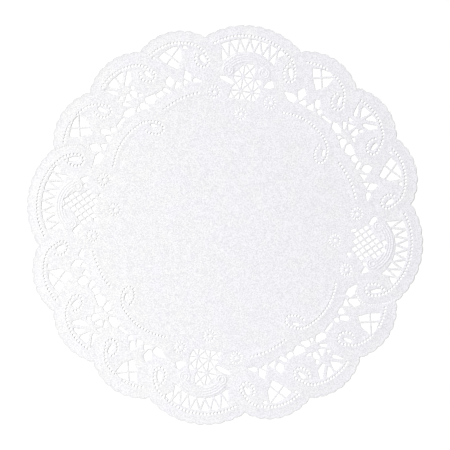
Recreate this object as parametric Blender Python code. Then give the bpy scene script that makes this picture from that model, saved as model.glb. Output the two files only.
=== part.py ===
"""A round lace paper doily, 254 mm across: one embossed, die-cut sheet, lying flat.

The origin is at the centre of the underside and +Z is up. The pattern repeats every
quarter turn, with web panels on +Y and -Y and net panels on +X and -X. Every motif is set
out in its own frame, in millimetres: x runs clockwise along the rim and y runs outward.
"""
import math
from collections import namedtuple

import bmesh
import bpy
from mathutils import Vector
from mathutils.geometry import delaunay_2d_cdt

MM = 0.001
QUARTERS = 4
QUARTER_TURN = 90.0

# The sheet, in millimetres
SHEET_THICK = 1.0
RIB_HEIGHT = 0.45
DAISY_HEIGHT = 0.4
BAR = 1.0
SMALLEST_GAP = 3.0
SHORTEST_SIDE = 0.45
# It measures a little more between its web panels than between its net panels
STRETCH = Vector((0.9953, 1.0047))

# The rim: a big scallop before each panel, then three smaller ones, each with a nibbled edge.
# Turns run clockwise in degrees from the panel's middle
NIBBLE_DEPTH = 0.6
NIBBLE_STEPS = (0.0, 0.2, 0.5, 0.8)
Scallop = namedtuple("Scallop", "start finish peak first_valley last_valley nibbles")
SCALLOPS = (
    Scallop(-15.6, 14.5, 126.7, 119.3, 119.3, 10),
    Scallop(14.5, 34.75, 125.5, 119.3, 120.2, 7),
    Scallop(34.75, 54.1, 126.4, 120.2, 121.9, 7),
    Scallop(54.1, 74.4, 126.6, 121.9, 119.3, 7),
)

# The fan of zigzag bars at the outer side of every panel, between two arcs
Arc = namedtuple("Arc", "x y radius first_turn step")
FAN_OUTER = Arc(-1.0, 81.3, 36.5, -34.6, 10.2)
FAN_INNER = Arc(-1.0, 88.0, 22.2, -54.0, 14.3)
FAN_TEETH = 7
NET_FAN_DROP = 0.7

# The web: bars through a lattice of hubs, cut to the outline of its field
WEB_HUB = Vector((-4.1, 93.7))
WEB_STEP = Vector((7.4, 8.9))
WEB_REACH = 2
WEB_FIELD = (
    (-10.8, 79.6), (-9.8, 86.0), (-9.5, 90.0), (-9.9, 96.1), (-8.2, 100.1), (-4.6, 102.3),
    (-1.0, 103.1), (3.8, 101.4), (3.8, 94.2), (6.9, 94.1), (8.5, 89.5), (8.2, 84.7),
    (6.4, 79.7),
)

# The net: rows of square holes set cornerwise, at twice the real net's pitch
NET_TOP = Vector((-0.7, 99.4))
NET_PITCH = Vector((9.6, 10.4))
NET_BAR = 2.2
NetRow = namedtuple("NetRow", "down first holes")
NET_ROWS = (
    NetRow(0.0, 0.0, 1),
    NetRow(0.5, -0.5, 2),
    NetRow(1.0, -1.0, 3),
    NetRow(1.5, -0.5, 2),
)

# Ribs pressed up around each panel, as bows about one point
RIB_CENTRE = Vector((-1.0, 90.7))
RIB_HALF_WIDTH = 0.6
RIB_HALF_TURN = 62.0
RIB_STEPS = 10
RIB_RADII = (14.2, 16.3, 18.4)

# Daisies pressed up inside each panel
DAISY_RADIUS = 4.0
DAISY_CROWN = 2.5
DAISY_PETALS = 12
DAISIES = ((-20.5, 81.8), (-1.4, 71.0), (15.8, 81.0))

# Single gaps: the middle, the full width and height, a clockwise turn in degrees, the top
# and bottom edges as shares of the width, and how far up the half height the waist sits
Gap = namedtuple("Gap", "x y wide high turn top foot waist")
WEB_SINGLES = (
    Gap(-13.8, 90.5, 10.4, 2.7, 18, 0.44, 0.75, 0.11),
    Gap(12.7, 90.8, 4.3, 6.6, 64, 1.00, 0.07, 0.06),
    Gap(16.9, 111.3, 3.6, 4.6, 30, 1.00, 0.20, 0.30),
    Gap(25.5, 100.6, 2.6, 6.6, 161, 0.45, 0.75, -0.20),
)
NET_SINGLES = (
    Gap(-17.6, 92.3, 3.2, 6.0, -57, 0.59, 0.44, 0.26),
    Gap(14.3, 92.2, 3.6, 4.6, -47, 1.00, 0.18, 0.56),
    Gap(16.9, 110.6, 3.6, 4.6, 30, 1.00, 0.20, 0.30),
    Gap(25.5, 101.4, 2.6, 6.6, 161, 0.45, 0.75, -0.20),
)
FIRST_SCALLOP = (
    Gap(-6.6, 95.3, 5.5, 7.6, -14, 0.17, 0.34, 0.21),
    Gap(-3.3, 91.0, 3.6, 4.4, 51, 0.90, 0.15, 0.55),
    Gap(3.1, 91.5, 4.4, 3.9, -62, 0.86, 0.15, 0.33),
    Gap(5.2, 95.8, 3.7, 5.7, -29, 0.60, 0.60, 0.22),
    Gap(9.0, 92.4, 4.1, 2.9, 79, 0.32, 0.31, 0.21),
    Gap(15.4, 91.1, 7.0, 1.6, 3, 0.77, 0.97, 0.20),
    Gap(-11.9, 89.9, 5.1, 8.8, -86, 0.14, 0.74, -0.12),
    Gap(15.5, 105.4, 2.5, 5.6, 168, 0.45, 0.75, -0.20),
)
SECOND_SCALLOP = (
    Gap(-10.9, 110.4, 2.4, 9.2, -37, 0.18, 0.70, -0.54),
    Gap(-6.2, 112.0, 5.5, 7.0, -15, 1.00, 0.08, 0.42),
    Gap(-1.1, 114.6, 6.5, 4.1, -45, 0.05, 1.00, -0.43),
    Gap(3.2, 110.4, 9.3, 3.5, -45, 1.00, 0.16, 0.04),
    Gap(-7.8, 102.9, 3.8, 2.0, -19, 0.98, 0.18, 0.63),
    Gap(1.9, 104.3, 2.2, 2.4, 20, 0.90, 0.50, 0.20),
    Gap(-3.8, 101.1, 3.9, 4.5, 29, 0.18, 0.99, -0.58),
    Gap(0.6, 100.8, 5.4, 3.2, 80, 0.44, 0.91, -0.15),
    Gap(-7.2, 97.9, 2.3, 4.7, -48, 1.00, 0.54, 0.27),
    Gap(4.1, 97.5, 2.1, 3.6, -75, 0.97, 0.18, 0.54),
    Gap(-8.8, 92.7, 8.6, 4.4, 2, 0.60, 0.49, 0.23),
    Gap(-2.7, 91.3, 2.5, 3.8, 34, 0.15, 0.97, -0.78),
    Gap(1.4, 90.4, 4.8, 6.2, -43, 0.43, 0.17, 0.41),
    Gap(7.2, 91.2, 7.4, 5.6, 12, 0.96, 0.16, -0.06),
    Gap(13.7, 90.8, 4.7, 3.3, -2, 0.84, 0.60, -0.20),
    Gap(18.6, 90.4, 2.5, 4.9, -28, 0.64, 0.82, 0.24),
    Gap(14.8, 105.4, 2.8, 5.6, 168, 0.45, 0.75, -0.20),
)
THIRD_SCALLOP = (
    Gap(-9.9, 96.1, 7.2, 5.0, -82, 0.39, 0.30, 0.01),
    Gap(-6.2, 92.5, 3.3, 4.5, 51, 0.99, 0.16, 0.55),
    Gap(-1.0, 92.8, 3.1, 3.5, 43, 0.71, 0.14, 0.64),
    Gap(1.8, 96.5, 8.0, 4.5, 81, 0.15, 0.16, 0.18),
    Gap(7.2, 92.2, 3.3, 5.5, -66, 0.54, 0.17, 0.50),
    Gap(14.1, 104.4, 3.2, 5.8, 160, 0.45, 0.75, -0.20),
)
VALLEY_LOOP = (Gap(12.9, 76.0, 2.3, 4.6, 146, 0.45, 0.75, -0.20),)
Motif = namedtuple("Motif", "turn gaps")
MOTIFS = (
    Motif(25.2, FIRST_SCALLOP),
    Motif(45.3, SECOND_SCALLOP),
    Motif(65.2, THIRD_SCALLOP),
    Motif(35.2, VALLEY_LOOP),
)

# The leaf in the first and third small scallops: one field split by two crossing bars
LEAF_FIELD = (
    (-10.1, 112.6), (-5.6, 115.2), (0.2, 116.6), (4.6, 115.6), (3.9, 108.2),
    (-0.6, 102.4), (-6.4, 107.6),
)
LEAF_HUB = Vector((-2.2, 110.8))
LEAF_BARS = (52.0, -38.0)
Leaf = namedtuple("Leaf", "turn shift")
LEAVES = (Leaf(25.2, 0.0), Leaf(65.2, -2.6))

PAPER_COLOUR = (0.89, 0.89, 0.92, 1.0)
PAPER_ROUGHNESS = 0.85


def heading(degrees):
    """A unit step at this clockwise angle from the outward direction."""
    return Vector((math.sin(math.radians(degrees)), math.cos(math.radians(degrees))))


def placed(turn, point):
    """A point of a motif's own frame, carried clockwise round the sheet."""
    outward = heading(turn)
    along = Vector((outward.y, -outward.x))
    return along * point[0] + outward * point[1]


def stretched(spot):
    """A point of the round pattern, where it lies on the slightly longer sheet."""
    return Vector((spot.x * STRETCH.x, spot.y * STRETCH.y))


def on_arc(arc, step):
    """A point of an arc of the fan, so many bars along it."""
    return Vector((arc.x, arc.y)) + heading(arc.first_turn + arc.step * step) * arc.radius


def area(corners):
    """The signed area, positive when the corners run anticlockwise."""
    pairs = zip(corners, corners[1:] + corners[:1])
    return sum(a.x * b.y - b.x * a.y for a, b in pairs) / 2


def beyond(corners, point, normal, margin):
    """What is left of a gap beyond a line, less a margin for half a bar."""
    kept = []
    for here, ahead in zip(corners, corners[1:] + corners[:1]):
        near = (here - point).dot(normal) - margin
        far = (ahead - point).dot(normal) - margin
        if near >= 0:
            kept.append(here)
        if (near >= 0) != (far >= 0):
            kept.append(here.lerp(ahead, near / (near - far)))
    return kept


def split(cells, point, along):
    """Every cell cut in two by a bar that runs both ways from the point."""
    normal = Vector((-along.y, along.x)).normalized()
    halves = [beyond(cell, point, side, BAR / 2) for cell in cells for side in (normal, -normal)]
    return [half for half in halves if len(half) > 2]


def rounded_off(corners):
    """The gap with corners that all but meet made one."""
    kept = []
    for corner in corners:
        if not kept or (corner - kept[-1]).length > SHORTEST_SIDE:
            kept.append(corner)
    while len(kept) > 3 and (kept[0] - kept[-1]).length <= SHORTEST_SIDE:
        kept.pop()
    return kept


def worth_cutting(cells):
    """The cells that are large enough to be cut."""
    tidied = [rounded_off(cell) for cell in cells]
    return [cell for cell in tidied if len(cell) > 2 and abs(area(cell)) > SMALLEST_GAP]


def single(gap):
    """The corners of one gap of a table."""
    middle = Vector((gap.x, gap.y))
    outline = (
        (-gap.top, 1.0), (gap.top, 1.0), (1.0, gap.waist),
        (gap.foot, -1.0), (-gap.foot, -1.0), (-1.0, gap.waist),
    )
    sized = [(u * gap.wide / 2, v * gap.high / 2) for u, v in outline]
    return rounded_off([middle + placed(gap.turn, corner) for corner in sized])


def between_bars(base, tip):
    """The gap between a base and its tip, less half a bar along both sloping sides."""
    gap = base + [tip]
    for foot, other in ((base[0], base[-1]), (base[-1], base[0])):
        run = (foot - tip).normalized()
        normal = Vector((-run.y, run.x))
        if (other - tip).dot(normal) < 0:
            normal.negate()
        gap = beyond(gap, tip, normal, BAR / 2)
    return gap


def fan(drop):
    """The teeth of a panel's fan: one row points out and the other in."""
    teeth = []
    for step in range(FAN_TEETH):
        inner = [on_arc(FAN_INNER, step + part) for part in (0, 1)]
        outer = [on_arc(FAN_OUTER, step + part) for part in (0, 0.5, 1)]
        teeth.append(between_bars(inner, outer[0]))
        if step < FAN_TEETH - 1:
            teeth.append(between_bars(outer, inner[1]))
    return [[corner - Vector((0, drop)) for corner in tooth] for tooth in worth_cutting(teeth)]


def web():
    """The triangles between the web's upright, level and slanting bars."""
    cells = [[Vector(corner) for corner in WEB_FIELD]]
    for step in range(-WEB_REACH, WEB_REACH + 1):
        hub = WEB_HUB + Vector((WEB_STEP.x * step, -WEB_STEP.y * step))
        cells = split(cells, hub, Vector((1, 0)))
        cells = split(cells, hub, Vector((0, 1)))
        level = WEB_HUB + Vector((WEB_STEP.x * step, 0))
        cells = split(cells, level, WEB_STEP)
        cells = split(cells, level, Vector((WEB_STEP.x, -WEB_STEP.y)))
    return worth_cutting(cells)


def net():
    """The square holes of the net, row by row."""
    share = 1 - NET_BAR / (NET_PITCH.length / 2)
    reach_x = Vector((NET_PITCH.x / 2 * share, 0))
    reach_y = Vector((0, NET_PITCH.y / 2 * share))
    holes = []
    for row in NET_ROWS:
        for hole in range(row.holes):
            across = NET_PITCH.x * (row.first + hole)
            middle = NET_TOP + Vector((across, -NET_PITCH.y * row.down))
            holes.append([middle + step for step in (reach_y, reach_x, -reach_y, -reach_x)])
    return holes


def leaf_cells(shift):
    """The four gaps of a leaf, moved along the rim."""
    cells = [[Vector(corner) + Vector((shift, 0)) for corner in LEAF_FIELD]]
    for bar in LEAF_BARS:
        cells = split(cells, LEAF_HUB + Vector((shift, 0)), heading(bar))
    return worth_cutting(cells)


def all_gaps():
    """Every gap cut through the sheet, as corners in the sheet's own frame."""
    found = []
    for quarter in range(QUARTERS):
        if quarter % 2 == 0:
            panel = web() + fan(0.0) + [single(gap) for gap in WEB_SINGLES]
        else:
            panel = net() + fan(NET_FAN_DROP) + [single(gap) for gap in NET_SINGLES]
        places = [(0.0, panel)]
        places += [(leaf.turn, leaf_cells(leaf.shift)) for leaf in LEAVES]
        places += [(motif.turn, [single(gap) for gap in motif.gaps]) for motif in MOTIFS]
        for turn, gaps in places:
            around = quarter * QUARTER_TURN + turn
            found += [[placed(around, corner) for corner in gap] for gap in gaps]
    return found


def circle_through(a, b, c):
    """The centre and radius of the circle through three points."""
    ab, ac = b - a, c - a
    twice = 2 * (ab.x * ac.y - ab.y * ac.x)
    across = (ac.y * ab.length_squared - ab.y * ac.length_squared) / twice
    up = (ab.x * ac.length_squared - ac.x * ab.length_squared) / twice
    middle = Vector((across, up))
    return a + middle, middle.length


def rim():
    """The scalloped outline with its nibbles, running clockwise."""
    corners = []
    for quarter in range(QUARTERS):
        for scallop in SCALLOPS:
            start, finish = (quarter * QUARTER_TURN + t for t in (scallop.start, scallop.finish))
            first = heading(start) * scallop.first_valley
            last = heading(finish) * scallop.last_valley
            crown = heading((start + finish) / 2) * scallop.peak
            centre, radius = circle_through(first, crown, last)
            low = math.atan2(first.x - centre.x, first.y - centre.y)
            high = math.atan2(last.x - centre.x, last.y - centre.y)
            sweep = (high - low) % math.tau
            for nibble in range(scallop.nibbles):
                for step in NIBBLE_STEPS:
                    angle = low + sweep * (nibble + step) / scallop.nibbles
                    hollow = NIBBLE_DEPTH * (2 * step - 1) ** 2
                    outward = Vector((math.sin(angle), math.cos(angle)))
                    corners.append(centre + outward * (radius - hollow))
    return corners


def rib_points():
    """Points across and along every rib, with their heights: flat edges and a raised crest."""
    points = []
    for quarter in range(QUARTERS):
        for radius in RIB_RADII:
            for step in range(RIB_STEPS + 1):
                turn = RIB_HALF_TURN * (2 * step / RIB_STEPS - 1)
                last = step in (0, RIB_STEPS)
                section = ((0, 0),) if last else ((-1, 0), (0, RIB_HEIGHT), (1, 0))
                for side, lift in section:
                    reach = radius + side * RIB_HALF_WIDTH
                    spot = RIB_CENTRE + heading(turn) * reach
                    points.append((placed(quarter * QUARTER_TURN, spot), lift))
    return points


def daisy_points():
    """Rings of points for the daisies: a dimple, a raised crown and a flat edge."""
    points = []
    for quarter in range(QUARTERS):
        for middle in DAISIES:
            points.append((placed(quarter * QUARTER_TURN, middle), 0))
            for radius, lift in ((DAISY_CROWN, DAISY_HEIGHT), (DAISY_RADIUS, 0)):
                for petal in range(DAISY_PETALS):
                    turn = 360.0 * petal / DAISY_PETALS
                    spot = Vector(middle) + heading(turn) * radius
                    points.append((placed(quarter * QUARTER_TURN, spot), lift))
    return points


def filled(loops, points):
    """The triangles of the sheet: inside the first loop, outside the others, through the points."""
    spots, edges, faces = [], [], []
    for loop in loops:
        ring = list(range(len(spots), len(spots) + len(loop)))
        spots += loop
        edges += list(zip(ring, ring[1:] + ring[:1]))
        faces.append(ring if area(loop) > 0 else ring[::-1])
    corners, _, triangles, _, _, sources = delaunay_2d_cdt(spots + points, edges, faces, 1, 1e-7)
    return corners, [tri for tri, owners in zip(triangles, sources) if list(owners) == [0]]


def paper_material():
    material = bpy.data.materials.new("paper")
    material.use_nodes = True
    shader = material.node_tree.nodes["Principled BSDF"]
    shader.inputs["Base Color"].default_value = PAPER_COLOUR
    shader.inputs["Roughness"].default_value = PAPER_ROUGHNESS
    shader.inputs["Metallic"].default_value = 0.0
    return material


def make_doily():
    """The sheet as one closed body: a flat underside, cut edges and a top with its relief."""
    loops = [[stretched(spot) for spot in loop] for loop in [rim()] + all_gaps()]
    relief = [(stretched(spot), lift) for spot, lift in rib_points() + daisy_points()]
    lifts = {(round(spot.x, 3), round(spot.y, 3)): lift for spot, lift in relief}
    body = bmesh.new()
    seats = {}

    def seat(spot, height):
        key = (round(spot.x, 3), round(spot.y, 3), round(height, 3))
        if key not in seats:
            seats[key] = body.verts.new(Vector((spot.x, spot.y, height)) * MM)
        return seats[key]

    def on_top(spot):
        return seat(spot, SHEET_THICK + lifts.get((round(spot.x, 3), round(spot.y, 3)), 0))

    corners, triangles = filled(loops, [spot for spot, _ in relief])
    for tri in triangles:
        body.faces.new([on_top(corners[index]) for index in tri])
    corners, triangles = filled(loops, [])
    for tri in triangles:
        body.faces.new([seat(corners[index], 0) for index in reversed(tri)])
    for loop in loops:
        for here, ahead in zip(loop, loop[1:] + loop[:1]):
            body.faces.new((seat(here, 0), seat(ahead, 0), on_top(ahead), on_top(here)))
    bmesh.ops.recalc_face_normals(body, faces=body.faces)
    mesh = bpy.data.meshes.new("doily")
    body.to_mesh(mesh)
    body.free()
    mesh.materials.append(paper_material())
    doily = bpy.data.objects.new("doily", mesh)
    bpy.context.scene.collection.objects.link(doily)


for old in list(bpy.data.objects):
    bpy.data.objects.remove(old, do_unlink=True)
make_doily()
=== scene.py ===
import math
from collections import namedtuple

import bmesh
import bpy
import numpy as np
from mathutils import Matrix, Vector
from mathutils.geometry import delaunay_2d_cdt
from mathutils.kdtree import KDTree


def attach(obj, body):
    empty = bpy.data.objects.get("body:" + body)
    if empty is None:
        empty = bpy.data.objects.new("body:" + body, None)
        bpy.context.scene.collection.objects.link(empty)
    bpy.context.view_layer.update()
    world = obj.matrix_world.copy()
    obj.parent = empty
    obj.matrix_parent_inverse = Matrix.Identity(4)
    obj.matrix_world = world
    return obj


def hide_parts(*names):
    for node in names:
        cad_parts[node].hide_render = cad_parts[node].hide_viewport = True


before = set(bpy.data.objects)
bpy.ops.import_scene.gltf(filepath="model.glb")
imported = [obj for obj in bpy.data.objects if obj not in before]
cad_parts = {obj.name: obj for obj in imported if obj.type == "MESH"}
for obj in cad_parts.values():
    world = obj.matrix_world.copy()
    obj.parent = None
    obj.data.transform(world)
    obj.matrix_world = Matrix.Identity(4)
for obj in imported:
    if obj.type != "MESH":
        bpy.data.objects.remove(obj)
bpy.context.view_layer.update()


# ---- The view ----
# Straight down onto the sheet through a long lens, as for a page in a catalogue. The web
# panels stand a little clockwise of upright.
ROLL = 9.4
VIEW_WIDTH = 0.2843
VIEW_HEIGHT = 1.6
SENSOR = 36.0
VIEW_MIDDLE = (0.0002, -0.0001)

bpy.ops.object.camera_add()
camera = bpy.context.object
camera.name = "camera"
camera.data.sensor_width = SENSOR
camera.data.lens = SENSOR * VIEW_HEIGHT / VIEW_WIDTH
camera.rotation_euler = (0.0, 0.0, math.radians(ROLL))


def across_view(right, up, height):
    """A place so far to the right of the view's middle and above it, at this height."""
    turn = math.radians(ROLL)
    return Vector((
        right * math.cos(turn) - up * math.sin(turn),
        right * math.sin(turn) + up * math.cos(turn),
        height,
    ))


camera.location = across_view(*VIEW_MIDDLE, VIEW_HEIGHT)
bpy.context.scene.camera = camera


# ---- The sheet: outline and gaps ----
# One thin sheet of white paper. A steel die stamps out its scalloped rim with the nibbled
# edge and, in the same stroke, every gap of the lace. All of it is set out in millimetres,
# each motif in its own frame: x runs clockwise along the rim and y runs outward.
MM = 0.001
QUARTERS = 4
QUARTER_TURN = 90.0
BAR = 1.0
FAN_BAR = 1.3
# The area of the smallest gap worth cutting, and the shortest side that a gap keeps
SMALLEST_GAP = 3.0
SHORTEST_SIDE = 0.45
# How far the die opens a gap on every side, and what keeps a sharp corner from moving far
DIE_SPREAD = 0.04
SHARPEST_CORNER = 0.5
# The share of a side that a rounded corner takes, and the most that it takes
CORNER_SHARE = 0.15
CORNER_REACH = 0.2
# The sheet measures a little more across its web panels than across its net panels
STRETCH = Vector((0.9953, 1.0047))

NIBBLE_DEPTH = 0.8
NIBBLE_STEPS = (0.0, 0.08, 0.2, 0.35, 0.5, 0.65, 0.8, 0.92)
Scallop = namedtuple("Scallop", "start finish peak first_valley last_valley nibbles")
SCALLOPS = (
    Scallop(-15.6, 14.5, 126.7, 119.3, 119.3, 10),
    Scallop(14.5, 34.75, 125.5, 119.3, 120.2, 7),
    Scallop(34.75, 54.1, 126.4, 120.2, 121.9, 7),
    Scallop(54.1, 74.4, 126.6, 121.9, 119.3, 7),
)

# The fan of zigzag bars at the outer side of every panel, between two arcs
Arc = namedtuple("Arc", "x y radius first_turn step")
FAN_OUTER = Arc(-1.0, 81.3, 36.5, -34.6, 10.2)
FAN_INNER = Arc(-1.0, 88.0, 22.2, -54.0, 14.3)
FAN_TEETH = 7
NET_FAN_DROP = 0.7

# The web: bars through a lattice of hubs, cut to the outline of its field
WEB_HUB = Vector((-4.1, 93.7))
WEB_STEP = Vector((7.4, 8.9))
WEB_REACH = 2
WEB_FIELD = (
    (-10.8, 79.6), (-9.8, 86.0), (-9.5, 90.0), (-9.9, 96.1), (-8.2, 100.1), (-4.6, 102.3),
    (-1.0, 103.1), (3.8, 101.4), (3.8, 94.2), (6.9, 94.1), (8.5, 89.5), (8.2, 84.7),
    (6.4, 79.7),
)

# The net: rows of square holes set cornerwise. The first hole is in whole pitches
NET_TOP = Vector((-0.7, 101.75))
NET_PITCH = Vector((4.8, 5.18))
NET_BAR = 1.05
NetRow = namedtuple("NetRow", "down first holes")
NET_ROWS = (
    NetRow(0.0, -1.0, 2),
    NetRow(0.5, -0.5, 2),
    NetRow(1.0, -1.0, 3),
    NetRow(1.5, -1.5, 3),
    NetRow(2.0, -2.0, 4),
    NetRow(2.5, -2.5, 5),
    NetRow(3.0, -2.0, 4),
    NetRow(3.5, -1.5, 3),
)

# Single gaps: the middle, the full width and height, a clockwise turn in degrees, the top
# and bottom edges as shares of the width, and how far up the half height the waist sits
Gap = namedtuple("Gap", "x y wide high turn top foot waist")
WEB_SINGLES = (
    Gap(-13.8, 90.5, 10.4, 2.7, 18, 0.44, 0.75, 0.11),
    Gap(12.7, 90.8, 4.3, 6.6, 64, 1.00, 0.07, 0.06),
    Gap(16.9, 111.3, 3.6, 4.6, 30, 1.00, 0.20, 0.30),
    Gap(25.5, 100.6, 2.6, 6.6, 161, 0.45, 0.75, -0.20),
)
NET_SINGLES = (
    Gap(-17.6, 92.3, 3.2, 6.0, -57, 0.59, 0.44, 0.26),
    Gap(14.3, 92.2, 3.6, 4.6, -47, 1.00, 0.18, 0.56),
    Gap(16.9, 110.6, 3.6, 4.6, 30, 1.00, 0.20, 0.30),
    Gap(25.5, 101.4, 2.6, 6.6, 161, 0.45, 0.75, -0.20),
    Gap(-9.8, 81.0, 2.2, 3.4, -20, 0.80, 0.40, 0.30),
    Gap(5.4, 80.6, 2.6, 2.4, 30, 0.80, 0.40, 0.30),
    Gap(9.9, 91.4, 2.0, 2.4, 40, 1.00, 0.50, 0.00),
)
FIRST_SCALLOP = (
    Gap(-6.6, 95.3, 5.5, 7.6, -14, 0.17, 0.34, 0.21),
    Gap(-3.3, 91.0, 3.6, 4.4, 51, 0.90, 0.15, 0.55),
    Gap(3.1, 91.5, 4.4, 3.9, -62, 0.86, 0.15, 0.33),
    Gap(5.2, 95.8, 3.7, 5.7, -29, 0.60, 0.60, 0.22),
    Gap(9.0, 92.4, 4.1, 2.9, 79, 0.32, 0.31, 0.21),
    Gap(15.4, 91.1, 7.0, 1.6, 3, 0.77, 0.97, 0.20),
    Gap(-11.9, 89.9, 5.1, 8.8, -86, 0.14, 0.74, -0.12),
    Gap(15.5, 105.4, 2.2, 5.4, 168, 0.45, 0.75, -0.20),
)
SECOND_SCALLOP = (
    Gap(-10.9, 110.4, 2.4, 9.2, -37, 0.18, 0.70, -0.54),
    Gap(-6.2, 112.0, 5.5, 7.0, -15, 1.00, 0.08, 0.42),
    Gap(-1.1, 114.6, 6.5, 4.1, -45, 0.05, 1.00, -0.43),
    Gap(3.2, 110.4, 9.3, 3.5, -45, 1.00, 0.16, 0.04),
    Gap(-7.8, 102.9, 3.8, 2.0, -19, 0.98, 0.18, 0.63),
    Gap(1.9, 104.3, 2.2, 2.4, 20, 0.90, 0.50, 0.20),
    Gap(-3.8, 101.1, 3.9, 4.5, 29, 0.18, 0.99, -0.58),
    Gap(0.6, 100.8, 5.4, 3.2, 80, 0.44, 0.91, -0.15),
    Gap(-7.2, 97.9, 2.3, 4.7, -48, 1.00, 0.54, 0.27),
    Gap(4.1, 97.5, 2.1, 3.6, -75, 0.97, 0.18, 0.54),
    Gap(-8.8, 92.7, 8.6, 4.4, 2, 0.60, 0.49, 0.23),
    Gap(-2.7, 91.3, 2.5, 3.8, 34, 0.15, 0.97, -0.78),
    Gap(1.4, 90.4, 4.8, 6.2, -43, 0.43, 0.17, 0.41),
    Gap(7.2, 91.2, 7.4, 5.6, 12, 0.96, 0.16, -0.06),
    Gap(13.7, 90.8, 4.7, 3.3, -2, 0.84, 0.60, -0.20),
    Gap(18.6, 90.4, 2.5, 4.9, -28, 0.64, 0.82, 0.24),
    Gap(14.8, 105.4, 2.5, 5.4, 168, 0.45, 0.75, -0.20),
)
THIRD_SCALLOP = (
    Gap(-9.9, 96.1, 7.2, 5.0, -82, 0.39, 0.30, 0.01),
    Gap(-6.2, 92.5, 3.3, 4.5, 51, 0.99, 0.16, 0.55),
    Gap(-1.0, 92.8, 3.1, 3.5, 43, 0.71, 0.14, 0.64),
    Gap(1.8, 96.5, 8.0, 4.5, 81, 0.15, 0.16, 0.18),
    Gap(7.2, 92.2, 3.3, 5.5, -66, 0.54, 0.17, 0.50),
    Gap(14.1, 104.4, 2.8, 5.5, 160, 0.45, 0.75, -0.20),
    Gap(4.9, 114.4, 2.4, 2.0, 25, 0.80, 0.50, 0.20),
    Gap(-15.8, 113.3, 1.6, 1.3, -20, 0.80, 0.80, 0.00),
)
VALLEY_LOOP = (Gap(12.9, 76.0, 1.9, 4.3, 146, 0.45, 0.75, -0.20),)
Motif = namedtuple("Motif", "turn gaps")
MOTIFS = (
    Motif(25.2, FIRST_SCALLOP),
    Motif(45.3, SECOND_SCALLOP),
    Motif(65.2, THIRD_SCALLOP),
    Motif(35.2, VALLEY_LOOP),
)

# The leaf in the first and third small scallops: one field split by two crossing bars
LEAF_FIELD = (
    (-10.1, 112.6), (-5.6, 115.2), (0.2, 116.6), (4.6, 115.6), (3.9, 108.2),
    (-0.6, 102.4), (-6.4, 107.6),
)
LEAF_HUB = Vector((-2.2, 110.8))
LEAF_TURNS = (52.0, -38.0)
LEAF_BAR = 1.15
Leaf = namedtuple("Leaf", "turn shift")
LEAVES = (Leaf(25.2, 0.0), Leaf(65.2, -2.6))


def heading(degrees):
    """A unit step at this clockwise angle from the outward direction."""
    return Vector((math.sin(math.radians(degrees)), math.cos(math.radians(degrees))))


def placed(turn, point):
    """A point of a motif's own frame, carried clockwise round the sheet."""
    outward = heading(turn)
    along = Vector((outward.y, -outward.x))
    return along * point[0] + outward * point[1]


def stretched(spot):
    """A point of the round pattern, where it lies on the slightly longer sheet."""
    return Vector((spot[0] * STRETCH.x, spot[1] * STRETCH.y))


def on_arc(arc, step):
    """A point of an arc of the fan, so many bars along it."""
    return Vector((arc.x, arc.y)) + heading(arc.first_turn + arc.step * step) * arc.radius


def area(corners):
    """The signed area, positive when the corners run anticlockwise."""
    pairs = zip(corners, corners[1:] + corners[:1])
    return sum(a.x * b.y - b.x * a.y for a, b in pairs) / 2


def beyond(corners, point, normal, margin):
    """What is left of a gap beyond a line, less a margin for half a bar."""
    kept = []
    for here, ahead in zip(corners, corners[1:] + corners[:1]):
        near = (here - point).dot(normal) - margin
        far = (ahead - point).dot(normal) - margin
        if near >= 0:
            kept.append(here)
        if (near >= 0) != (far >= 0):
            kept.append(here.lerp(ahead, near / (near - far)))
    return kept


def split(cells, point, along, bar=BAR):
    """Every cell cut in two by a bar that runs both ways from the point."""
    normal = Vector((-along.y, along.x)).normalized()
    halves = [beyond(cell, point, side, bar / 2) for cell in cells for side in (normal, -normal)]
    return [half for half in halves if len(half) > 2]


def tidied(corners):
    """The gap with corners that all but meet made one."""
    kept = []
    for corner in corners:
        if not kept or (corner - kept[-1]).length > SHORTEST_SIDE:
            kept.append(corner)
    while len(kept) > 3 and (kept[0] - kept[-1]).length <= SHORTEST_SIDE:
        kept.pop()
    return kept


def worth_cutting(cells):
    """The cells that are large enough to be cut."""
    found = [tidied(cell) for cell in cells]
    return [cell for cell in found if len(cell) > 2 and abs(area(cell)) > SMALLEST_GAP]


def single(gap):
    """The corners of one gap of a table."""
    middle = Vector((gap.x, gap.y))
    outline = (
        (-gap.top, 1.0), (gap.top, 1.0), (1.0, gap.waist),
        (gap.foot, -1.0), (-gap.foot, -1.0), (-1.0, gap.waist),
    )
    sized = [(u * gap.wide / 2, v * gap.high / 2) for u, v in outline]
    return tidied([middle + placed(gap.turn, corner) for corner in sized])


def between_bars(base, tip):
    """The gap between a base and its tip, less half a bar along both sloping sides."""
    gap = base + [tip]
    for foot, other in ((base[0], base[-1]), (base[-1], base[0])):
        run = (foot - tip).normalized()
        normal = Vector((-run.y, run.x))
        if (other - tip).dot(normal) < 0:
            normal.negate()
        gap = beyond(gap, tip, normal, FAN_BAR / 2)
    return gap


def fan(drop):
    """The teeth of a panel's fan: one row points out and the other in."""
    teeth = []
    for step in range(FAN_TEETH):
        inner = [on_arc(FAN_INNER, step + part) for part in (0, 1)]
        outer = [on_arc(FAN_OUTER, step + part) for part in (0, 0.5, 1)]
        teeth.append(between_bars(inner, outer[0]))
        if step < FAN_TEETH - 1:
            teeth.append(between_bars(outer, inner[1]))
    return [[corner - Vector((0, drop)) for corner in tooth] for tooth in worth_cutting(teeth)]


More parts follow.
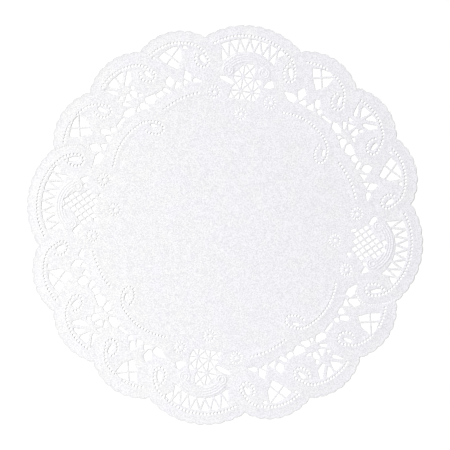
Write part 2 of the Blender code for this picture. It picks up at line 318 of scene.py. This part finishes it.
def web():
    """The triangles between the web's upright, level and slanting bars."""
    cells = [[Vector(corner) for corner in WEB_FIELD]]
    for step in range(-WEB_REACH, WEB_REACH + 1):
        hub = WEB_HUB + Vector((WEB_STEP.x * step, -WEB_STEP.y * step))
        cells = split(cells, hub, Vector((1, 0)))
        cells = split(cells, hub, Vector((0, 1)))
        level = WEB_HUB + Vector((WEB_STEP.x * step, 0))
        cells = split(cells, level, WEB_STEP)
        cells = split(cells, level, Vector((WEB_STEP.x, -WEB_STEP.y)))
    return worth_cutting(cells)


def net():
    """The square holes of the net, row by row."""
    share = 1 - NET_BAR / (NET_PITCH.length / 2)
    reach_x = Vector((NET_PITCH.x / 2 * share, 0))
    reach_y = Vector((0, NET_PITCH.y / 2 * share))
    holes = []
    for row in NET_ROWS:
        for hole in range(row.holes):
            across = NET_PITCH.x * (row.first + hole)
            middle = NET_TOP + Vector((across, -NET_PITCH.y * row.down))
            holes.append([middle + step for step in (reach_y, reach_x, -reach_y, -reach_x)])
    return holes


def leaf_cells(shift):
    """The four gaps of a leaf, moved along the rim."""
    cells = [[Vector(corner) + Vector((shift, 0)) for corner in LEAF_FIELD]]
    for turn in LEAF_TURNS:
        cells = split(cells, LEAF_HUB + Vector((shift, 0)), heading(turn), LEAF_BAR)
    return worth_cutting(cells)


def all_gaps():
    """Every gap of the lace, as corners in the sheet's own frame."""
    found = []
    for quarter in range(QUARTERS):
        if quarter % 2 == 0:
            panel = web() + fan(0.0) + [single(gap) for gap in WEB_SINGLES]
        else:
            panel = net() + fan(NET_FAN_DROP) + [single(gap) for gap in NET_SINGLES]
        places = [(0.0, panel)]
        places += [(leaf.turn, leaf_cells(leaf.shift)) for leaf in LEAVES]
        places += [(motif.turn, [single(gap) for gap in motif.gaps]) for motif in MOTIFS]
        for turn, gaps in places:
            around = quarter * QUARTER_TURN + turn
            found += [[placed(around, corner) for corner in gap] for gap in gaps]
    return found


def opened(corners):
    """A gap with every side moved out a little, as wide as the die leaves it."""
    if area(corners) < 0:
        corners = corners[::-1]
    wider = []
    for index, corner in enumerate(corners):
        run_in = (corner - corners[index - 1]).normalized()
        run_out = (corners[(index + 1) % len(corners)] - corner).normalized()
        push = Vector((run_in.y + run_out.y, -run_in.x - run_out.x))
        push *= DIE_SPREAD / max(SHARPEST_CORNER, 1 + run_in.dot(run_out))
        wider.append(corner + push)
    return wider


def softened(corners):
    """A gap whose corners are rounded, as a worn die leaves them."""
    soft = []
    count = len(corners)
    for index, corner in enumerate(corners):
        before, after = corners[index - 1], corners[(index + 1) % count]
        cut_in = min(CORNER_REACH, (before - corner).length * CORNER_SHARE)
        cut_out = min(CORNER_REACH, (after - corner).length * CORNER_SHARE)
        first = corner + (before - corner).normalized() * cut_in
        last = corner + (after - corner).normalized() * cut_out
        crown = (first + last) * 0.25 + corner * 0.5
        soft += [first, crown, last]
    return soft


def circle_through(a, b, c):
    """The centre and radius of the circle through three points."""
    ab, ac = b - a, c - a
    twice = 2 * (ab.x * ac.y - ab.y * ac.x)
    across = (ac.y * ab.length_squared - ab.y * ac.length_squared) / twice
    up = (ab.x * ac.length_squared - ac.x * ab.length_squared) / twice
    middle = Vector((across, up))
    return a + middle, middle.length


def rim():
    """The scalloped outline with its nibbles, running clockwise."""
    corners = []
    for quarter in range(QUARTERS):
        for scallop in SCALLOPS:
            start, finish = (quarter * QUARTER_TURN + t for t in (scallop.start, scallop.finish))
            first = heading(start) * scallop.first_valley
            last = heading(finish) * scallop.last_valley
            crown = heading((start + finish) / 2) * scallop.peak
            centre, radius = circle_through(first, crown, last)
            low = math.atan2(first.x - centre.x, first.y - centre.y)
            high = math.atan2(last.x - centre.x, last.y - centre.y)
            sweep = (high - low) % math.tau
            for nibble in range(scallop.nibbles):
                for step in NIBBLE_STEPS:
                    angle = low + sweep * (nibble + step) / scallop.nibbles
                    hollow = NIBBLE_DEPTH * (2 * step - 1) ** 2
                    outward = Vector((math.sin(angle), math.cos(angle)))
                    corners.append(centre + outward * (radius - hollow))
    return corners


# ---- The sheet: perforations ----
# Pin holes punched in rows along every scroll, each row curling into a loop at one end, and
# rings of short slits round the middle of every daisy.
BEAD_RADIUS = 0.8
BEAD_SIDES = 8
BEAD_CLEAR = 0.4
BEAD_APART = 1.55
SMALLEST_BEAD = 0.35
Leg = namedtuple("Leg", "beads turn")
Row = namedtuple("Row", "x y heading pitch legs")
BIG_ROW = Row(-25.2, 111.8, 50.5, 2.25, (
    Leg(12, 3.35), Leg(12, 3.4), Leg(6, 8.7), Leg(4, 37.5), Leg(5, 16.2),
))
FIRST_ROW = Row(-15.0, 113.6, 59.6, 2.17, (
    Leg(5, 4.2), Leg(8, 4.4), Leg(4, 9.3), Leg(2, 1.2), Leg(4, 34.6), Leg(4, 21.3),
))
SECOND_ROW = Row(-13.5, 115.6, 63.2, 2.15, (
    Leg(4, 4.4), Leg(8, 4.3), Leg(4, 9.4), Leg(2, 1.9), Leg(4, 33.8), Leg(4, 22.1),
))
THIRD_ROW = Row(-17.1, 115.5, 59.2, 2.16, (
    Leg(6, 4.4), Leg(8, 4.6), Leg(4, 9.3), Leg(2, 1.4), Leg(4, 34.0), Leg(4, 23.3),
))
INNER_ROW = Row(-23.0, 76.3, 52.9, 2.1, (
    Leg(6, 2.9), Leg(10, 3.5), Leg(5, 9.5), Leg(2, 17.5), Leg(3, 37.4), Leg(4, 13.6),
))
SHORT_ROW = Row(-2.8, 82.2, 76.2, 2.41, (Leg(10, 2.56),))
# Fine pricks round the curl of the big scroll beside each net panel
PRICK_ROW = Row(29.3, 113.4, 146.0, 1.45, (Leg(11, 2.4), Leg(13, 8.8)))
PRICK_RADIUS = 0.4
PRICK_SIDES = 6
PRICK_APART = 1.6
# Which way the middle of every row faces from the panel's own middle
RowPlace = namedtuple("RowPlace", "turn row")
ROW_PLACES = (
    RowPlace(25.2, FIRST_ROW),
    RowPlace(45.3, SECOND_ROW),
    RowPlace(65.2, THIRD_ROW),
    RowPlace(35.2, INNER_ROW),
    RowPlace(54.6, SHORT_ROW),
)
NET_ROW_DROP = 0.2
Daisy = namedtuple("Daisy", "x y turn")
DAISIES = (Daisy(-20.6, 81.4, 24.0), Daisy(-1.8, 70.4, 24.0), Daisy(15.5, 80.4, 8.0))
PETALS = 12
PETAL_MIDDLE = 3.4
PETAL_LONG = 1.5
PETAL_WIDE = 0.8
DAISY_EYE = 0.92
EYE_SIDES = 10
# How close together the spots lie that stand for an edge when distances are measured
TRACE_STEP = 0.3


def filled_in(line, step):
    """The line with points close together along it."""
    dense = []
    for here, ahead in zip(line, line[1:]):
        parts = max(1, math.ceil((ahead - here).length / step))
        dense += [here.lerp(ahead, part / parts) for part in range(parts)]
    return dense + [line[-1]]


def tree_of(spots):
    """The spots in a tree that finds the nearest of them."""
    tree = KDTree(len(spots))
    for index, spot in enumerate(spots):
        tree.insert((spot[0], spot[1], 0.0), index)
    tree.balance()
    return tree


def traced(loops):
    """A tree of spots close together along every closed loop."""
    return tree_of([spot for loop in loops for spot in filled_in(loop + loop[:1], TRACE_STEP)])


def distances(tree, spots):
    """How far every spot is from the nearest point of the tree."""
    return np.array([tree.find((x, y, 0.0))[2] for x, y in spots])


def beads_of(row):
    """The middles of a row's pin holes, walked one by one from its start."""
    spots = [Vector((row.x, row.y))]
    facing = row.heading
    for leg in row.legs:
        for _ in range(leg.beads):
            facing += leg.turn
            spots.append(spots[-1] + heading(facing) * row.pitch)
    return spots


def all_rows():
    """Every row of pin holes, in the sheet's own frame."""
    rows = []
    for quarter in range(QUARTERS):
        drop = Vector((0, 0.0 if quarter % 2 == 0 else NET_ROW_DROP))
        rows.append([placed(quarter * QUARTER_TURN, spot - drop) for spot in beads_of(BIG_ROW)])
        for place in ROW_PLACES:
            around = quarter * QUARTER_TURN + place.turn
            rows.append([placed(around, spot) for spot in beads_of(place.row)])
    return rows


def ring(middle, radius, sides):
    """A round hole's corners."""
    return [middle + heading(360.0 * side / sides) * radius for side in range(sides)]


def slit(middle, turn):
    """One slit of a daisy, pointing outward from its middle."""
    outline = ((-0.5, 0.3), (0.0, 0.5), (0.5, 0.3), (0.5, -0.3), (0.0, -0.5), (-0.5, -0.3))
    sized = [(u * PETAL_WIDE, v * PETAL_LONG) for u, v in outline]
    return [middle + heading(turn) * PETAL_MIDDLE + placed(turn, corner) for corner in sized]


def pin_holes():
    """The pin holes of every row: smaller beside a gap, left out where another hole is."""
    near_gap = traced(all_gaps())
    found, taken = [], []
    for row in all_rows():
        for spot in row:
            reach = near_gap.find((spot.x, spot.y, 0.0))[2] - BEAD_CLEAR
            crowded = any((spot - other).length < BEAD_APART for other in taken)
            if reach < SMALLEST_BEAD or crowded:
                continue
            taken.append(spot)
            found.append(ring(spot, min(BEAD_RADIUS, reach), BEAD_SIDES))
    for quarter in range(1, QUARTERS, 2):
        for bead in beads_of(PRICK_ROW):
            spot = placed(quarter * QUARTER_TURN, bead)
            clear = near_gap.find((spot.x, spot.y, 0.0))[2] > PRICK_RADIUS + BEAD_CLEAR
            if clear and all((spot - other).length > PRICK_APART for other in taken):
                found.append(ring(spot, PRICK_RADIUS, PRICK_SIDES))
    return found


def all_perforations():
    """Every pin hole and slit, as corners in the sheet's own frame."""
    found = pin_holes()
    for quarter in range(QUARTERS):
        around = quarter * QUARTER_TURN
        for daisy in DAISIES:
            middle = placed(around, (daisy.x, daisy.y))
            found.append(ring(middle, DAISY_EYE, EYE_SIDES))
            turns = [around + daisy.turn + 360.0 * petal / PETALS for petal in range(PETALS)]
            found += [slit(middle, turn) for turn in turns]
    return found


# ---- The sheet: embossing ----
# The same stroke presses the paper over a raised plate. The scrolls stand up as flat tapes,
# the bows over each panel as ribs, the daisies as very low domes and the rim as a fine
# raised line. The paper is soft, and lies a little off the table top.
PAPER_THICK = 0.13
LOWEST = 0.015
# The height of the underside over the table top at the middle, and what is added at half
# the sheet's width to the right, by the curl, by the twist and by an uneven swell
HALF_WIDTH = 126.0
LIFT = 0.12
LIFT_ACROSS = -0.07
LIFT_CURL = 0.045
LIFT_TWIST = 0.06
SWELL = 0.05
Wave = namedtuple("Wave", "length shift")
SWELL_X = Wave(17.0, 0.6)
SWELL_Y = Wave(21.0, -0.4)
# The tape's height at distances from its row of pin holes, plus on the outside of the curve
TAPE_PROFILE = ((-3.1, 0.0), (-2.7, 0.035), (-2.3, 0.07), (0.0, 0.28), (2.0, 0.08), (4.5, 0.0))
RIM_REACH = 1.6
RIM_RISE = 0.12
# The bow of ribs over each panel's middle, and the scroll at either end of it
Bow = namedtuple("Bow", "x y first_turn last_turn scrolls")
WEB_BOW = Bow(-1.0, 90.4, -58.0, 44.0, ((-13.9, 96.5), (9.3, 98.0)))
NET_BOW = Bow(-2.9, 89.1, -57.0, 52.0, ((-15.0, 96.3), (8.9, 96.4)))
BOW_POINTS = 41
RIBS = 4
RIB_INNER = 13.65
RIB_PITCH = 1.55
RIB_RADII = [RIB_INNER + RIB_PITCH * rib for rib in range(RIBS)]
RIB_HALF_WIDTH = 0.78
RIB_RISE = 0.27
RIB_TRACE = 0.25
SCROLL_POINTS = 24
SCROLL_INNER = 1.6
SCROLL_PITCH = 1.5
SCROLL_RADII = (SCROLL_INNER + SCROLL_PITCH, SCROLL_INNER)
DAISY_RADIUS = 4.6
DAISY_SLOPE = 1.4
DAISY_RISE = 0.1
# How far the paper dips beside a pin hole or slit, and drops beside a gap
DIP_REACH = 0.35
DIP_DEPTH = 0.08
EDGE_REACH = 0.6
EDGE_DROP = 0.06
# How far the painted edge shade reaches from a gap and from the rim, and how grey it is
EDGE_SHADE_REACH = 0.4
EDGE_SHADE_SHARE = 0.55
RIM_SHADE_REACH = 0.8
RIM_SHADE_SHARE = 0.6


def rib_lines(bow_radii, scroll_radii):
    """Bows and the rings of their scrolls at these radii, in the sheet's own frame."""
    lines = []
    for quarter in range(QUARTERS):
        around = quarter * QUARTER_TURN
        bow = WEB_BOW if quarter % 2 == 0 else NET_BOW
        for radius in bow_radii:
            turns = np.linspace(bow.first_turn, bow.last_turn, BOW_POINTS)
            crest = [Vector((bow.x, bow.y)) + heading(turn) * radius for turn in turns]
            lines.append([placed(around, spot) for spot in crest])
        for middle in bow.scrolls:
            for radius in scroll_radii:
                crest = ring(Vector(middle), radius, SCROLL_POINTS)
                lines.append([placed(around, spot) for spot in crest + crest[:1]])
    return lines


def eased(share):
    """A smooth rise from 0 to 1."""
    share = np.clip(share, 0.0, 1.0)
    return share * share * (3 - 2 * share)


rows = [[stretched(spot) for spot in row] for row in all_rows()]
ribs = [[stretched(spot) for spot in line] for line in rib_lines(RIB_RADII, SCROLL_RADII)]
daisy_middles = [
    stretched(placed(quarter * QUARTER_TURN, (daisy.x, daisy.y)))
    for quarter in range(QUARTERS) for daisy in DAISIES
]
outline = [stretched(spot) for spot in rim()]
gaps = [[stretched(spot) for spot in softened(opened(gap))] for gap in all_gaps()]
holes = [[stretched(spot) for spot in hole] for hole in all_perforations()]
loops = [outline] + gaps + holes

cut_tree = traced(loops)
gap_tree = traced(gaps)
rim_tree = traced([outline])
hole_tree = traced(holes)
rib_tree = tree_of([spot for line in ribs for spot in filled_in(line, RIB_TRACE)])
daisy_tree = tree_of(daisy_middles)
row_spots, row_sides = [], []
for row in rows:
    dense = filled_in(row, TRACE_STEP)
    runs = [ahead - here for here, ahead in zip(dense, dense[1:])]
    row_spots += dense
    row_sides += [Vector((-run.y, run.x)).normalized() for run in runs + runs[-1:]]
row_tree = tree_of(row_spots)


def outside_row(spots):
    """How far every spot is from the nearest row, less than nothing inside its curve."""
    found = []
    for x, y in spots:
        nearest, index, away = row_tree.find((x, y, 0.0))
        side = row_sides[index]
        outward = (x - nearest.x) * side.x + (y - nearest.y) * side.y
        found.append(math.copysign(away, outward))
    return np.array(found)


def press(spots):
    """How high the plate lifts the paper at each spot, and how much painted edge shade it gets.
    """
    to_row = outside_row(spots)
    to_hole = distances(hole_tree, spots)
    to_rib = distances(rib_tree, spots)
    to_daisy = distances(daisy_tree, spots)
    to_gap = distances(gap_tree, spots)
    to_rim = distances(rim_tree, spots)
    lift = np.interp(to_row, *zip(*TAPE_PROFILE))
    lift += RIB_RISE * eased(1 - to_rib / RIB_HALF_WIDTH)
    lift += DAISY_RISE * eased((DAISY_RADIUS - to_daisy) / DAISY_SLOPE)
    lift -= DIP_DEPTH * eased(1 - to_hole / DIP_REACH)
    lift -= EDGE_DROP * eased(1 - to_gap / EDGE_REACH)
    lift += RIM_RISE * np.clip(1 - to_rim / RIM_REACH, 0.0, 1.0) ** 2
    # Painted shade: grey laid along every gap edge and the rim, standing for the thin shade
    # there
    edge_shade = EDGE_SHADE_SHARE * eased(1 - to_gap / EDGE_SHADE_REACH)
    edge_shade += RIM_SHADE_SHARE * eased(1 - to_rim / RIM_SHADE_REACH)
    return lift, edge_shade


def resting(spots):
    """The height of the sheet's underside: more at one side, a little curled and twisted."""
    x, y = spots[:, 0], spots[:, 1]
    turn = math.radians(ROLL)
    across = (x * math.cos(turn) + y * math.sin(turn)) / HALF_WIDTH
    upward = (y * math.cos(turn) - x * math.sin(turn)) / HALF_WIDTH
    level = LIFT + LIFT_ACROSS * across
    level += LIFT_CURL * (across ** 2 - upward ** 2) + LIFT_TWIST * across * upward
    swell = np.sin(x / SWELL_X.length + SWELL_X.shift)
    swell *= np.cos(y / SWELL_Y.length + SWELL_Y.shift)
    return level + SWELL * swell


# The sheet is filled with points, close together where the plate works it and far apart in
# the plain middle. They keep clear of cut edges and of each other
RIB_PARTS = 4
RIB_ROWS = [RIB_INNER + RIB_PITCH * part / RIB_PARTS for part in range(-2, 15)]
SCROLL_ROWS = [SCROLL_INNER + SCROLL_PITCH * part / RIB_PARTS for part in range(-3, 7)]
POINT_STEP = 0.95
PLAIN_STEP = 2.2
PLAIN_RADIUS = 63.0
FIELD_RADIUS = 128.0
EDGE_ROW_AWAY = 0.4
EDGE_ROW_STEP = 0.7
TAPE_ROW_STEP = 0.9
ROW_CLEAR = 0.3
ROW_APART = 0.3
FIELD_CLEAR = 0.42
FIELD_APART = 0.4
FIELD_FROM_ROWS = 0.45


def lattice(step, inner, outer):
    """Points in even triangles between two radii."""
    spots = []
    triangle_height = math.sqrt(0.75)
    last_row = int(outer / (step * triangle_height)) + 1
    for j in range(-last_row, last_row + 1):
        y = j * step * triangle_height
        xs = np.arange(-outer, outer, step) + (j % 2) * step / 2
        reach = np.hypot(xs, y)
        spots += [(x, y) for x in xs[(reach >= inner) & (reach < outer)]]
    return spots


def beside(line, offset, step):
    """Points in a row to the left of a line, so far from it."""
    spots = []
    for here, ahead in zip(line, line[1:]):
        run = ahead - here
        aside = Vector((-run.y, run.x)).normalized() * offset
        parts = max(1, round(run.length / step))
        spots += [here.lerp(ahead, (part + 0.5) / parts) + aside for part in range(parts)]
    return spots


def thinned(spots, clear, apart):
    """The spots clear of every cut edge, with no two of them close together."""
    kept, taken = [], set()
    for spot in spots:
        cell = (round(spot.x / apart), round(spot.y / apart))
        if cell not in taken and cut_tree.find((spot.x, spot.y, 0.0))[2] > clear:
            taken.add(cell)
            kept.append(spot)
    return kept


# Rows of points along everything the plate raises or lowers, then an even field between
along = [stretched(spot) for line in rib_lines(RIB_ROWS, SCROLL_ROWS) for spot in line]
for loop in gaps + holes + [outline]:
    way = -1 if area(loop) > 0 else 1
    if loop is outline:
        way = -way
    along += beside(loop + loop[:1], way * EDGE_ROW_AWAY, EDGE_ROW_STEP)
for row in rows:
    for offset, _ in TAPE_PROFILE[:3]:
        along += beside(row, offset, TAPE_ROW_STEP)
along = thinned(along, ROW_CLEAR, ROW_APART)
along_tree = tree_of(along)
field = lattice(POINT_STEP, PLAIN_RADIUS, FIELD_RADIUS) + lattice(PLAIN_STEP, 0.0, PLAIN_RADIUS)
field = thinned([Vector(spot) for spot in field], FIELD_CLEAR, FIELD_APART)
field = [spot for spot in field if along_tree.find((spot.x, spot.y, 0.0))[2] > FIELD_FROM_ROWS]
points = along + field


# How the sheet is filled with triangles, how finely its corners are told apart, and from
# which angle on an edge stays sharp
INSIDE_ONLY = 1
MERGE_WITHIN = 1e-7
SEAT_DIGITS = 3
SHARP_EDGE = 40.0


def filled(extra):
    """The triangles of the paper: inside the outline, outside the gaps, through the points."""
    spots, edges, faces = [], [], []
    for loop in loops:
        ends = list(range(len(spots), len(spots) + len(loop)))
        spots += loop
        edges += list(zip(ends, ends[1:] + ends[:1]))
        faces.append(ends if area(loop) > 0 else ends[::-1])
    corners, _, triangles, _, _, sources = delaunay_2d_cdt(
        spots + extra, edges, faces, INSIDE_ONLY, MERGE_WITHIN,
    )
    return corners, [tri for tri, owners in zip(triangles, sources) if list(owners) == [0]]


vertices, faces, edge_shades = [], [], []
seats = {}


def seat_key(spot, is_top):
    """What a corner of the paper's top or underside is found by."""
    return round(spot.x, SEAT_DIGITS), round(spot.y, SEAT_DIGITS), is_top


def seat(spots, is_top):
    """Seats for the corners of the paper's top, or of its underside, which stays flat."""
    flat = np.array([(spot.x, spot.y) for spot in spots])
    lift, edge_shade = press(flat)
    if not is_top:
        lift = np.minimum(lift, 0.0)
    heights = np.maximum(resting(flat) + lift, LOWEST) + (PAPER_THICK if is_top else 0.0)
    first = len(vertices)
    for spot, height, shade_amount in zip(spots, heights, edge_shade):
        seats[seat_key(spot, is_top)] = len(vertices)
        vertices.append((spot.x * MM, spot.y * MM, height * MM))
        edge_shades.append(float(shade_amount))
    return first


# The top has the points of the relief, the underside only its edges, and walls join them
for is_top, extra in ((True, points), (False, [])):
    corners, triangles = filled(extra)
    used = sorted({index for tri in triangles for index in tri})
    first = seat([corners[index] for index in used], is_top)
    place = {index: first + k for k, index in enumerate(used)}
    for tri in triangles:
        ends = [place[index] for index in tri]
        faces.append(ends if is_top else ends[::-1])
for loop in loops:
    for here, ahead in zip(loop, loop[1:] + loop[:1]):
        below = [seats[seat_key(spot, False)] for spot in (here, ahead)]
        above = [seats[seat_key(spot, True)] for spot in (ahead, here)]
        faces.append(below + above)

mesh = bpy.data.meshes.new("paper_sheet")
mesh.from_pydata(vertices, [], faces)
mesh.validate()
# The painted edge shade, kept on every corner for the paper's colour
painted_edge_shade = mesh.attributes.new("painted_edge_shade", "FLOAT", "POINT")
painted_edge_shade.data.foreach_set("value", edge_shades)
shell = bmesh.new()
shell.from_mesh(mesh)
bmesh.ops.recalc_face_normals(shell, faces=shell.faces)
shell.to_mesh(mesh)
shell.free()
sheet = bpy.data.objects.new("paper_sheet", mesh)
bpy.context.scene.collection.objects.link(sheet)
bpy.ops.object.select_all(action="DESELECT")
sheet.select_set(True)
bpy.context.view_layer.objects.active = sheet
bpy.ops.object.shade_smooth_by_angle(angle=math.radians(SHARP_EDGE))


# ---- The sheet: paper ----
# Uncoated white stock with a faint blue cast. Its pulp has clouded a little, and the felt
# of the machine has left a fine grain. Painted shade greys it along every cut edge and the
# rim; the blue is a little uneven, and painted warm light thins it towards the lamps' side.
PAPER = (0.89, 0.88, 0.941, 1.0)
# A less blue white, for random patches and for the painted warm light on the lamps' side
PATCHY_AND_LAMPLIT_WHITE = (0.894, 0.893, 0.889, 1.0)
CLOUDED = (0.709, 0.703, 0.748, 1.0)
# Painted shade: the grey laid along every gap edge and the rim
EDGE_SHADE_GREY = (0.66, 0.66, 0.68, 1.0)
ROUGHNESS = 0.85
SPECULAR = 0.25
Noise = namedtuple("Noise", "scale detail")
GRAIN = Noise(1850.0, 0.0)
CLOUD = Noise(160.0, 2.0)
PATCHES = Noise(70.0, 2.0)
CLOUD_SHARE = 0.15
PATCH_SHARE = 2.0
# From which value to which the grain and clouds run from clean to clouded paper
Span = namedtuple("Span", "first last")
CLEAN_TO_CLOUDED = Span(0.39, 0.8)
ALL = Span(0.0, 1.0)
# From where to where, in metres to the right of the middle, the painted warm light of the
# lamps' side gives way to the blue, and what is added to its share at either end
LAMPLIT_SIDE_PLACE = Span(-0.08, 0.025)
LAMPLIT_SIDE_LEVEL = Span(-0.75, -0.2)
FELT_STRENGTH = 0.25
FELT_HEIGHT = 0.0002

paper = bpy.data.materials.new("paper")
paper.use_nodes = True
nodes, links = paper.node_tree.nodes, paper.node_tree.links
shader = nodes["Principled BSDF"]
shader.inputs["Roughness"].default_value = ROUGHNESS
shader.inputs["Specular IOR Level"].default_value = SPECULAR
place_on = nodes.new("ShaderNodeTexCoord")


def noise(kind):
    """A pattern that lies on the sheet."""
    node = nodes.new("ShaderNodeTexNoise")
    node.inputs["Scale"].default_value = kind.scale
    node.inputs["Detail"].default_value = kind.detail
    links.new(place_on.outputs["Object"], node.inputs["Vector"])
    return node.outputs["Fac"]


def weighed(value, weight, added):
    """One value times its weight, with another added."""
    node = nodes.new("ShaderNodeMath")
    node.operation = "MULTIPLY_ADD"
    node.inputs[1].default_value = weight
    links.new(value, node.inputs[0])
    links.new(added, node.inputs[2])
    return node.outputs["Value"]


def ranged(value, span, result):
    """A value carried from one span to another and held there."""
    node = nodes.new("ShaderNodeMapRange")
    node.inputs["From Min"].default_value = span.first
    node.inputs["From Max"].default_value = span.last
    node.inputs["To Min"].default_value = result.first
    node.inputs["To Max"].default_value = result.last
    links.new(value, node.inputs["Value"])
    return node.outputs["Result"]


def stained(under, colour, share):
    """The colour below, turned into another by a share."""
    node = nodes.new("ShaderNodeMix")
    node.data_type = "RGBA"
    node.inputs["B"].default_value = colour
    if isinstance(under, tuple):
        node.inputs["A"].default_value = under
    else:
        links.new(under, node.inputs["A"])
    links.new(share, node.inputs["Factor"])
    return node.outputs["Result"]


turn = math.radians(ROLL)
sideways = nodes.new("ShaderNodeVectorMath")
sideways.operation = "DOT_PRODUCT"
sideways.inputs[1].default_value = (math.cos(turn), math.sin(turn), 0.0)
links.new(place_on.outputs["Object"], sideways.inputs[0])
# Painted warm light: the blue thins out towards the lamps at the left, over random patches
painted_lamp_tint = ranged(sideways.outputs["Value"], LAMPLIT_SIDE_PLACE, LAMPLIT_SIDE_LEVEL)
tint = stained(PATCHY_AND_LAMPLIT_WHITE, PAPER, weighed(noise(PATCHES), PATCH_SHARE, painted_lamp_tint))

grain = noise(GRAIN)
clouding = ranged(weighed(noise(CLOUD), CLOUD_SHARE, grain), CLEAN_TO_CLOUDED, ALL)
mottle = stained(tint, CLOUDED, clouding)

# Painted edge shade, mixed in by the stored attribute
edge = nodes.new("ShaderNodeAttribute")
edge.attribute_name = "painted_edge_shade"
edge_shaded_paper = stained(mottle, EDGE_SHADE_GREY, edge.outputs["Fac"])
links.new(edge_shaded_paper, shader.inputs["Base Color"])

felt = nodes.new("ShaderNodeBump")
felt.inputs["Strength"].default_value = FELT_STRENGTH
felt.inputs["Distance"].default_value = FELT_HEIGHT
links.new(grain, felt.inputs["Height"])
links.new(felt.outputs["Normal"], shader.inputs["Normal"])
mesh.materials.append(paper)

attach(sheet, "root")
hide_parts("doily")


# ---- The table top ----
# A smooth white board, much wider than the sheet, that the doily lies on. It is matt, and
# its top is the sheet's ground.
TABLE_WIDE = 6.0
BOARD_WHITE = (0.99, 0.99, 0.99, 1.0)
BOARD_ROUGHNESS = 0.9
BOARD_SPECULAR = 0.1

bpy.ops.object.select_all(action="DESELECT")
bpy.ops.mesh.primitive_plane_add(size=TABLE_WIDE, location=(0.0, 0.0, 0.0))
table = bpy.context.object
table.name = "table_top"
white = bpy.data.materials.new("white_board")
white.use_nodes = True
board = white.node_tree.nodes["Principled BSDF"]
board.inputs["Base Color"].default_value = BOARD_WHITE
board.inputs["Roughness"].default_value = BOARD_ROUGHNESS
board.inputs["Specular IOR Level"].default_value = BOARD_SPECULAR
table.data.materials.append(white)


# ---- The light ----
# One softbox to the upper left, low enough to draw every cut edge, a weak, close and faintly
# yellow one to the lower left, and a soft even light from the whole room.
Softbox = namedtuple("Softbox", "name right up height size watts colour")
SOFTBOXES = (
    Softbox("key_light", -2.05, 2.35, 3.7, 0.55, 186, (1.0, 1.0, 1.0)),
    Softbox("fill_light", -0.55, -0.4, 0.6, 0.5, 3.2, (1.0, 1.0, 0.93)),
)
ROOM_WHITE = (1.0, 1.0, 1.0, 1.0)
ROOM_STRENGTH = 0.257

for box in SOFTBOXES:
    bpy.ops.object.light_add(type="AREA", location=across_view(box.right, box.up, box.height))
    lamp = bpy.context.object
    lamp.name = box.name
    lamp.data.size = box.size
    lamp.data.energy = box.watts
    lamp.data.color = box.colour
    lamp.rotation_euler = (-lamp.location).to_track_quat("-Z", "Y").to_euler()
room = bpy.data.worlds.new("room")
bpy.context.scene.world = room
room.use_nodes = True
backdrop = room.node_tree.nodes["Background"]
backdrop.inputs["Color"].default_value = ROOM_WHITE
backdrop.inputs["Strength"].default_value = ROOM_STRENGTH
bpy.context.scene.view_settings.view_transform = "Standard"
bpy.context.scene.view_settings.look = "None"
